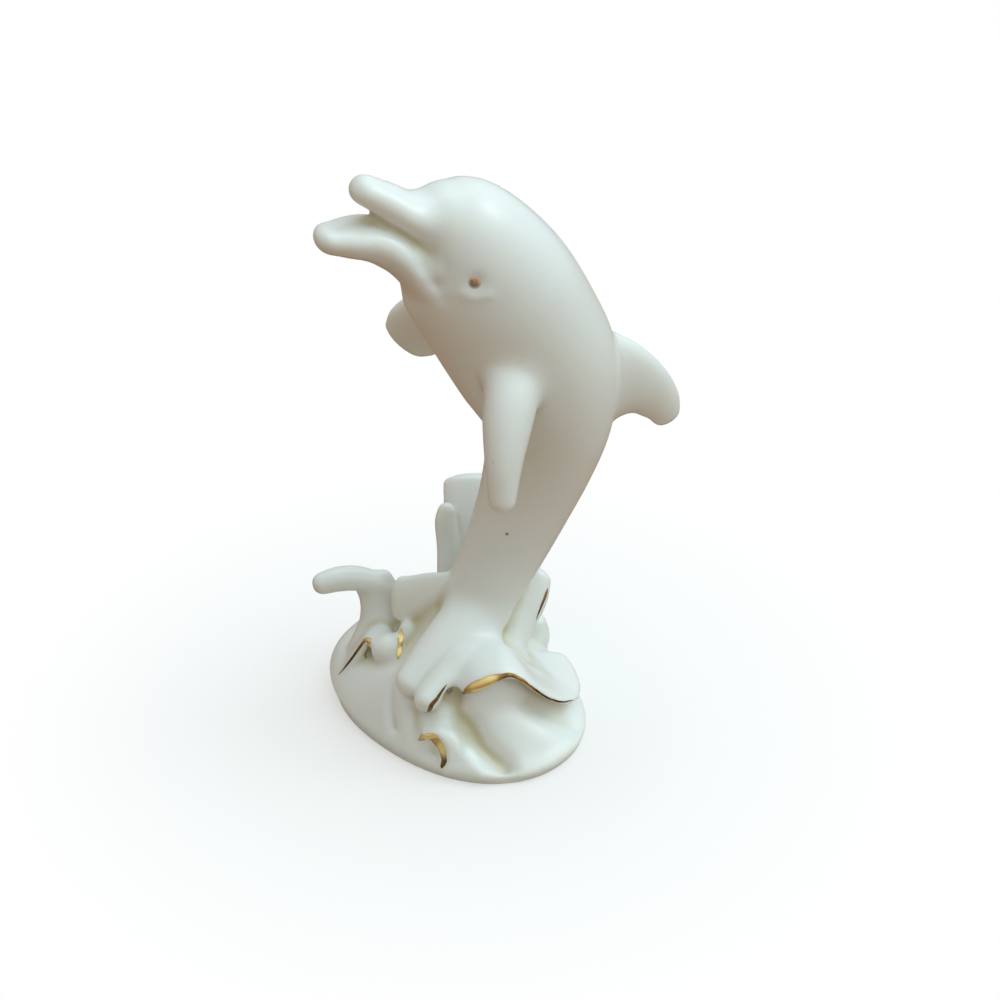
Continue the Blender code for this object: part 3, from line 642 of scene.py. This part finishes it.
def fused(forms, name):
    """One object whose mesh is the skin of all the forms together."""
    skin = bmesh.new()
    for piece in forms:
        skin.from_mesh(piece.data)
        bpy.data.objects.remove(piece)
    bmesh.ops.recalc_face_normals(skin, faces=skin.faces)
    mesh = bpy.data.meshes.new(name)
    skin.to_mesh(mesh)
    skin.free()
    obj = bpy.data.objects.new(name, mesh)
    bpy.context.scene.collection.objects.link(obj)
    remesh = obj.modifiers.new("cast", "REMESH")
    remesh.mode = "VOXEL"
    remesh.voxel_size = VOXEL * MM
    apply_modifiers(obj)
    return obj


def keep_outer_skin(obj):
    """Drops the loose shells that closed in around gaps between the forms."""
    mesh = bmesh.new()
    mesh.from_mesh(obj.data)
    left = set(mesh.verts)
    shells = []
    while left:
        shell, edge = set(), [left.pop()]
        while edge:
            vert = edge.pop()
            shell.add(vert)
            near = {link.other_vert(vert) for link in vert.link_edges} & left
            left -= near
            edge.extend(near)
        shells.append(shell)
    outer = max(shells, key=len)
    bmesh.ops.delete(mesh, geom=[v for v in mesh.verts if v not in outer], context="VERTS")
    mesh.to_mesh(obj.data)
    mesh.free()


def skin_arrays(obj):
    """Points and normals of the skin, in millimetres."""
    count = len(obj.data.vertices)
    places, normals = np.empty(count * 3), np.empty(count * 3)
    obj.data.vertices.foreach_get("co", places)
    obj.data.vertex_normals.foreach_get("vector", normals)
    return places.reshape(-1, 3) / MM, normals.reshape(-1, 3)


def nearness(places, points, reach):
    """From 1 on the run of points to 0 away from it, for each place."""
    run = refined(points, MARK_STEPS) if len(points) > 1 else np.array(points, float)
    nearest = np.full(len(places), np.inf)
    for point in run:
        nearest = np.minimum(nearest, ((places - point) ** 2).sum(1))
    return np.exp(-nearest / (MARK_SPREAD * reach) ** 2)


def round_with_glaze(obj, stretch):
    """Rounds the whole skin a little, and the soft spots broadly."""
    places, _ = skin_arrays(obj)
    soft = np.zeros(len(places))
    for points, reach in SOFT_SPOTS:
        soft = np.maximum(soft, nearness(places / stretch, points, reach))
    group = obj.vertex_groups.new(name="soft")
    for level in range(1, SOFT_LEVELS + 1):
        chosen = np.flatnonzero(np.ceil(soft * SOFT_LEVELS) == level)
        group.add(chosen.tolist(), level / SOFT_LEVELS, "REPLACE")
    glaze = obj.modifiers.new("glaze", "SMOOTH")
    glaze.factor = GLAZE_STRENGTH
    glaze.iterations = GLAZE_PASSES
    blend = obj.modifiers.new("blend", "SMOOTH")
    blend.factor = GLAZE_STRENGTH
    blend.iterations = SOFT_PASSES
    blend.vertex_group = "soft"
    apply_modifiers(obj)


def press_marks(obj, stretch):
    """Moves the skin along its normals near each mark's run of points."""
    places, normals = skin_arrays(obj)
    far_face = []
    for run, reach, depth in FACE_MARKS:
        far_face.append(([(x, -y, z) for x, y, z in run], reach, depth))
    moved = np.zeros(len(places))
    for points, reach, depth in MARKS + FACE_MARKS + far_face:
        moved -= depth * nearness(places / stretch, points, reach)
    places += normals * moved[:, None]
    obj.data.vertices.foreach_set("co", (places * MM).ravel())
    obj.data.update()


def thin_out(obj):
    thin = obj.modifiers.new("thin_out", "DECIMATE")
    triangles = sum(len(face.vertices) - 2 for face in obj.data.polygons)
    thin.ratio = min(1.0, SKIN_TRIANGLES / triangles)
    apply_modifiers(obj)


def cut_foot(obj):
    """Cuts everything below z = 0 away and closes the foot with one flat face."""
    mesh = bmesh.new()
    mesh.from_mesh(obj.data)
    whole = mesh.verts[:] + mesh.edges[:] + mesh.faces[:]
    plane = {"plane_co": (0, 0, 0), "plane_no": (0, 0, -1)}
    bmesh.ops.bisect_plane(mesh, geom=whole, dist=1e-7, clear_outer=True, **plane)
    rim = [edge for edge in mesh.edges if edge.is_boundary]
    bmesh.ops.holes_fill(mesh, edges=rim, sides=0)
    bmesh.ops.triangulate(mesh, faces=[face for face in mesh.faces if len(face.verts) > 4])
    mesh.to_mesh(obj.data)
    mesh.free()


def make_skin():
    sculpture = make_dolphin() + make_waves()
    stretch = stretched(sculpture)
    skin = fused([make_mound()] + sculpture, "porcelain_skin")
    keep_outer_skin(skin)
    round_with_glaze(skin, stretch)
    press_marks(skin, stretch)
    thin_out(skin)
    cut_foot(skin)
    skin.data.shade_smooth()
    return skin


class Skin:
    """The porcelain surface as something to lay paint on."""

    def __init__(self, obj):
        mesh = obj.data
        mesh.calc_loop_triangles()
        points = [vert.co.copy() for vert in mesh.vertices]
        self.tree = BVHTree.FromPolygons(points, [tuple(t.vertices) for t in mesh.loop_triangles])
        self.back, self.right, self.up = view_axes()

    def under_pixel(self, x, y):
        """The skin's point and normal under a pixel of the photograph."""
        across = (x - MIDDLE[0]) / FOCAL_PIXELS
        down = (y - MIDDLE[1]) / FOCAL_PIXELS
        ray = -self.back + self.right * across - self.up * down
        start = TARGET + self.back * DISTANCE
        place, normal, _, _ = self.tree.ray_cast(Vector(start), Vector(ray).normalized())
        if place is None:
            return None
        return np.array(place), np.array(normal)

    def nearest(self, place):
        """The skin's point that is nearest to a place, and the normal there."""
        place, normal, _, _ = self.tree.find_nearest(Vector(place))
        return np.array(place), np.array(normal)


def coat(name, points, faces, attribute, colours):
    """A coat of paint as an object, with a colour stored at each point."""
    mesh = bpy.data.meshes.new(name)
    mesh.from_pydata([tuple(p) for p in points], [], faces)
    turned = bmesh.new()
    turned.from_mesh(mesh)
    bmesh.ops.recalc_face_normals(turned, faces=turned.faces)
    turned.to_mesh(mesh)
    turned.free()
    stored = mesh.color_attributes.new(attribute, "FLOAT_COLOR", "POINT")
    stored.data.foreach_set("color", np.array(colours, np.float32).ravel())
    obj = bpy.data.objects.new(name, mesh)
    bpy.context.scene.collection.objects.link(obj)
    mesh.shade_smooth()
    return obj


def lay_line(skin, name, run, across=8, steps=8):
    """A painted line: a strip that follows the skin, proud in its middle and sunk at its edges."""
    rows = []
    for x, y, half_width, painted_reflection in run:
        hit = skin.under_pixel(x, y)
        if hit is not None:
            rows.append((*hit[0], half_width * MM, painted_reflection))
    rows = refined(rows, steps)
    centres = [skin.nearest(row[:3]) for row in rows]
    middle = np.array([centre for centre, _ in centres])
    facing = np.array([normal for _, normal in centres])
    for _ in range(GILT_FACING_PASSES):
        facing[1:-1] = (facing[:-2] + 2 * facing[1:-1] + facing[2:]) / 4
    along = unit(np.gradient(middle, axis=0))
    side = unit(np.cross(along, facing))
    last = len(rows) - 1
    points, colours = [], []
    for i, row in enumerate(rows):
        to_end = min(i, last - i) / last
        fullness = min(1.0, GILT_END_FULLNESS * math.sqrt(to_end) + GILT_END_WIDTH)
        for j in range(across + 1):
            share = 2 * j / across - 1
            place, normal = skin.nearest(middle[i] + side[i] * share * row[3] * fullness)
            lift = GILT_LIFT * (1 - GILT_EDGE_SINK * share**4)
            points.append(place + normal * lift * MM)
            # Painted reflection: the gold's brightness stands for light caught or dark mirrored, and
            # is painted darker towards the line's edges.
            painted_reflection = float(np.clip(row[4], 0, 1)) * (1 - abs(share) ** 3)
            colours.append((painted_reflection, painted_reflection, painted_reflection, 1.0))
    faces = []
    for i in range(last):
        for j in range(across):
            a = i * (across + 1) + j
            faces.append((a, a + 1, a + across + 2, a + across + 1))
    return coat(name, points, faces, "painted_reflection", colours)


def lay_spot(skin, name, centre, facing, radius, lift, rings=8, around=28):
    """A painted spot: a round patch that follows the skin and swells in its middle."""
    facing = facing / np.linalg.norm(facing)
    level = unit(np.cross(facing, (0.0, 0.0, 1.0)))
    upward = np.cross(level, facing)
    place, normal = skin.nearest(centre)
    points = [place + normal * lift * MM]
    colours = [(0.5, 0.5, 0.5, 0.0)]
    for i in range(1, rings + 1):
        share = i / rings
        swell = lift * (1 - share**SPOT_SWELL) - SPOT_RIM_SINK * share**6
        for j in range(around):
            angle = 2 * math.pi * j / around
            offset = (level * math.cos(angle) - upward * math.sin(angle)) * radius * share * MM
            place, normal = skin.nearest(centre + offset)
            points.append(place + normal * swell * MM)
            # Painted light and shade: the eye is darker at its lower left and lighter, orange, at its
            # upper right.
            painted_light_tone = 0.5 - 0.5 * math.sin(angle + EYE_LIGHT_TURN) * share
            colours.append((painted_light_tone, painted_light_tone, painted_light_tone, share))
    faces = [(0, 1 + j, 1 + (j + 1) % around) for j in range(around)]
    for i in range(rings - 1):
        for j in range(around):
            a, b = 1 + i * around + j, 1 + i * around + (j + 1) % around
            faces.append((a, a + around, b + around, b))
    return coat(name, points, faces, "painted_light_tone", colours)


class NodeTree:
    """A short way to build a tree of shader nodes."""

    def __init__(self, tree):
        self.nodes = tree.nodes
        self.links = tree.links

    def node(self, kind, **settings):
        made = self.nodes.new(kind)
        for key, value in settings.items():
            setattr(made, key, value)
        return made

    def link(self, source, target):
        self.links.new(source, target)

    def feed(self, values, sockets):
        """Links each value to its socket, or writes it there where it is a constant."""
        for value, socket in zip(values, sockets):
            if isinstance(value, bpy.types.NodeSocket):
                self.link(value, socket)
            else:
                socket.default_value = value

    def math(self, operation, *values):
        made = self.node("ShaderNodeMath", operation=operation)
        self.feed(values, made.inputs)
        return made.outputs[0]

    def vector_math(self, operation, *values, output="Vector"):
        made = self.node("ShaderNodeVectorMath", operation=operation)
        self.feed(values, made.inputs)
        return made.outputs[output]

    def mix_shaders(self, factor, first, second):
        made = self.node("ShaderNodeMixShader")
        self.feed((factor, first, second), made.inputs)
        return made.outputs[0]


class Shader(NodeTree):
    """A short way to build a node material."""

    def __init__(self, name, constants):
        self.material = bpy.data.materials.new(name)
        self.material.use_nodes = True
        super().__init__(self.material.node_tree)
        self.surface = self.nodes["Principled BSDF"]
        for socket, value in constants.items():
            self.surface.inputs[socket].default_value = value

    def place(self):
        return self.node("ShaderNodeTexCoord").outputs["Object"]

    def attribute(self, name, output="Fac"):
        return self.node("ShaderNodeAttribute", attribute_name=name).outputs[output]

    def noise(self, scale, detail, vector):
        made = self.node("ShaderNodeTexNoise")
        made.inputs["Scale"].default_value = scale
        made.inputs["Detail"].default_value = detail
        self.link(vector, made.inputs["Vector"])
        return made.outputs["Fac"]

    def ramp(self, factor, stops):
        made = self.node("ShaderNodeValToRGB")
        stop_list = made.color_ramp.elements
        while len(stop_list) < len(stops):
            stop_list.new(0.5)
        for stop, (place, colour) in zip(stop_list, stops):
            stop.position = place
            stop.color = (*colour, 1.0) if isinstance(colour, tuple) else (colour, colour, colour, 1.0)
        self.link(factor, made.inputs["Fac"])
        return made.outputs["Color"]

    def mix(self, factor, first, second, blend="MIX"):
        made = self.node("ShaderNodeMix", data_type="RGBA", blend_type=blend)
        for value, socket in ((factor, 0), (first, 6), (second, 7)):
            if isinstance(value, (int, float)):
                made.inputs[socket].default_value = value
            elif isinstance(value, tuple):
                made.inputs[socket].default_value = (*value, 1.0)
            else:
                self.link(value, made.inputs[socket])
        return made.outputs[2]

    def bump(self, height, strength, distance):
        made = self.node("ShaderNodeBump")
        made.inputs["Strength"].default_value = strength
        made.inputs["Distance"].default_value = distance
        self.link(height, made.inputs["Height"])
        return made.outputs["Normal"]

    def finish(self, **sources):
        """Links each source to the surface's socket of that name and returns the material."""
        for socket, source in sources.items():
            self.link(source, self.surface.inputs[socket.replace("_", " ")])
        return self.material


def neighbour_means(edges, values):
    """The mean of each point's neighbours, column by column."""
    count = len(values)
    links = np.bincount(edges.ravel(), minlength=count)
    means = np.empty_like(values)
    for column in range(values.shape[1]):
        total = np.bincount(edges[:, 0], values[edges[:, 1], column], count)
        total += np.bincount(edges[:, 1], values[edges[:, 0], column], count)
        means[:, column] = total / links
    return means


def add_hollows(obj):
    """Stores how hollow the skin is at each point, from the ground around it."""
    places, normals = skin_arrays(obj)
    edges = np.empty(len(obj.data.edges) * 2, np.int64)
    obj.data.edges.foreach_get("vertices", edges)
    edges = edges.reshape(-1, 2)
    around = places.copy()
    for _ in range(HOLLOW_PASSES):
        around = (1 - HOLLOW_PULL) * around + HOLLOW_PULL * neighbour_means(edges, around)
    hollow = ((around - places) * normals).sum(1, keepdims=True)
    hollow = np.clip(hollow / HOLLOW_DEPTH, -1, 1) * 0.5 + 0.5
    for _ in range(HOLLOW_EVENING_PASSES):
        hollow = 0.5 * hollow + 0.5 * neighbour_means(edges, hollow)
    stored = obj.data.color_attributes.new("hollow", "FLOAT_COLOR", "POINT")
    colours = np.repeat(hollow, 4, axis=1)
    colours[:, 3] = 1.0
    stored.data.foreach_set("color", colours.ravel())


def glazed_porcelain():
    """Ivory porcelain under a clear glaze, olive in hollows from pooled glaze and painted shade, bare
    under the foot.
    """
    shader = Shader("ivory_glazed_porcelain", GLAZE_SURFACE)
    place = shader.place()
    cloud = shader.ramp(shader.noise(CLOUD_SCALE, 3.0, place), CLOUD_STOPS)
    # Olive in the hollows: partly pooled glaze, partly painted shade where the hollows lie in shadow.
    pooled_glaze_and_shade = shader.ramp(shader.attribute("hollow"), POOL_AND_SHADE_STOPS)
    colour = shader.mix(pooled_glaze_and_shade, cloud, POOL_AND_SHADE_COLOUR)
    pit = shader.node("ShaderNodeTexVoronoi")
    pit.inputs["Scale"].default_value = PIT_SCALE
    shader.link(place, pit.inputs["Vector"])
    dot = shader.ramp(pit.outputs["Distance"], PIT_STOPS)
    draw = shader.node("ShaderNodeSeparateColor")
    shader.link(pit.outputs["Color"], draw.inputs["Color"])
    rare = shader.ramp(draw.outputs["Red"], PIT_RARITY_STOPS)
    colour = shader.mix(shader.mix(1.0, dot, rare, "MULTIPLY"), colour, PIT_COLOUR)
    height = shader.node("ShaderNodeSeparateXYZ")
    shader.link(place, height.inputs["Vector"])
    bare = shader.ramp(height.outputs["Z"], BARE_STOPS)
    gloss = shader.ramp(shader.noise(GLOSS_SCALE, 2.0, place), GLOSS_STOPS)
    waves = shader.noise(GLAZE_WAVE_SCALE, 1.5, place)
    return shader.finish(
        Base_Color=shader.mix(bare, colour, BARE_COLOUR),
        Roughness=shader.mix(bare, gloss, BARE_ROUGHNESS),
        Normal=shader.bump(waves, GLAZE_WAVE_STRENGTH, GLAZE_WAVE_HEIGHT),
    )


def gold_lustre():
    """Gold with painted reflection: bright gold where it catches light, dark brown where it mirrors
    dark surroundings.
    """
    shader = Shader("gold_lustre", GOLD_SURFACE)
    brushed = shader.noise(BRUSH_SCALE, 3.0, shader.place())
    painted_light_and_brushing = shader.mix(BRUSH_SHARE, shader.attribute("painted_reflection"), brushed)
    return shader.finish(
        Base_Color=shader.ramp(painted_light_and_brushing, GOLD_REFLECTION_STOPS),
        Roughness=shader.ramp(brushed, BRUSH_GLOSS_STOPS),
        Normal=shader.bump(brushed, BRUSH_STRENGTH, BRUSH_HEIGHT),
    )


def eye_enamel():
    """Brown-red enamel with painted shade at its lower left and painted orange light at its upper
    right, and faint at its rim.
    """
    shader = Shader("eye_enamel", ENAMEL_SURFACE)
    brushed = shader.noise(ENAMEL_SCALE, 2.0, shader.place())
    painted_light_and_brushing = shader.mix(ENAMEL_SHARE, shader.attribute("painted_light_tone"), brushed)
    colour = shader.ramp(painted_light_and_brushing, ENAMEL_SHADE_AND_LIGHT_STOPS)
    faint = shader.ramp(shader.attribute("painted_light_tone", "Alpha"), ENAMEL_RIM_STOPS)
    return shader.finish(Base_Color=shader.mix(faint, colour, ENAMEL_RIM_COLOUR))


def speck_stain():
    """A grey iron speck under the glaze."""
    shader = Shader("speck_stain", STAIN_SURFACE)
    mottled = shader.noise(STAIN_SCALE, 2.0, shader.place())
    return shader.finish(Base_Color=shader.ramp(mottled, STAIN_STOPS))


def make_porcelain():
    skin = make_skin()
    add_hollows(skin)
    skin.data.materials.append(glazed_porcelain())
    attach(skin, "root")
    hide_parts("dolphin_figurine")
    return skin


def make_gilding(skin):
    lustre = gold_lustre()
    for name, run in GILT_RUNS.items():
        line = lay_line(skin, name, run)
        line.data.materials.append(lustre)
        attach(line, "root")


def make_eyes_and_speck(skin):
    enamel = eye_enamel()
    centre, facing = skin.under_pixel(*EYE_PIXEL)
    for name, mirror in (("eye_near", (1.0, 1.0, 1.0)), ("eye_far", (1.0, -1.0, 1.0))):
        eye = lay_spot(skin, name, centre * mirror, facing * mirror, EYE_RADIUS, EYE_LIFT)
        eye.data.materials.append(enamel)
        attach(eye, "root")
    centre, facing = skin.under_pixel(*SPECK_PIXEL)
    speck = lay_spot(skin, "glaze_speck", centre, facing, SPECK_RADIUS, SPECK_LIFT)
    speck.data.materials.append(speck_stain())
    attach(speck, "root")


def make_floor():
    """A plain pale disc that fades to white away from the figurine and keeps its shadow."""
    mesh = bpy.data.meshes.new("floor")
    floor = bpy.data.objects.new("floor", mesh)
    disc = bmesh.new()
    bmesh.ops.create_circle(disc, cap_ends=True, segments=96, radius=FLOOR_RADIUS)
    disc.to_mesh(mesh)
    disc.free()
    bpy.context.scene.collection.objects.link(floor)
    floor.location.z = -FLOOR_DROP
    shader = Shader("pale_floor", FLOOR_SURFACE)
    seen = shader.node("ShaderNodeLightPath").outputs["Is Camera Ray"]
    reach = shader.vector_math("LENGTH", shader.place(), output="Value")
    bounce = shader.ramp(reach, FLOOR_BOUNCE_STOPS)
    fade = shader.node("ShaderNodeMapRange", interpolation_type="SMOOTHSTEP")
    for socket, value in FLOOR_FADE.items():
        fade.inputs[socket].default_value = value
    shader.link(reach, fade.inputs["Value"])
    share = shader.math("MULTIPLY", fade.outputs["Result"], seen)
    white = shader.node("ShaderNodeEmission").outputs[0]
    shown = shader.mix_shaders(share, shader.surface.outputs[0], white)
    shader.link(shown, shader.nodes["Material Output"].inputs["Surface"])
    mesh.materials.append(shader.finish(Base_Color=shader.mix(seen, bounce, FLOOR_SEEN)))


def lobe(tree, direction, azimuth, elevation, tightness, colour):
    """Light that is brightest from one direction and falls off around it."""
    turn, rise = math.radians(azimuth), math.radians(elevation)
    level = math.cos(rise)
    source = (math.sin(turn) * level, -math.cos(turn) * level, math.sin(rise))
    facing = tree.vector_math("DOT_PRODUCT", direction, source, output="Value")
    half = tree.math("MULTIPLY_ADD", facing, 0.5, 0.5)
    light = tree.node("ShaderNodeVectorMath", operation="SCALE")
    light.inputs[0].default_value = colour
    tree.link(tree.math("POWER", half, tightness), light.inputs["Scale"])
    return light.outputs[0]


def make_light():
    """A dome of soft light that the camera sees as plain white."""
    world = bpy.data.worlds.new("studio")
    world.use_nodes = True
    tree = NodeTree(world.node_tree)
    direction = tree.node("ShaderNodeTexCoord").outputs["Generated"]
    ambient = tree.node("ShaderNodeCombineXYZ")
    tree.feed(AMBIENT, ambient.inputs)
    total = ambient.outputs[0]
    for settings in LOBES:
        total = tree.vector_math("ADD", total, lobe(tree, direction, *settings))
    dome = tree.nodes["Background"]
    tree.link(total, dome.inputs["Color"])
    backdrop = tree.node("ShaderNodeBackground")
    backdrop.inputs["Color"].default_value = (1.0, 1.0, 1.0, 1.0)
    seen = tree.node("ShaderNodeLightPath").outputs["Is Camera Ray"]
    shown = tree.mix_shaders(seen, dome.outputs[0], backdrop.outputs[0])
    tree.link(shown, tree.nodes["World Output"].inputs["Surface"])
    bpy.context.scene.world = world


make_camera()
make_light()
make_floor()
porcelain = make_porcelain()
painted = Skin(porcelain)
make_gilding(painted)
make_eyes_and_speck(painted)
bpy.context.scene.view_settings.view_transform = "Standard"
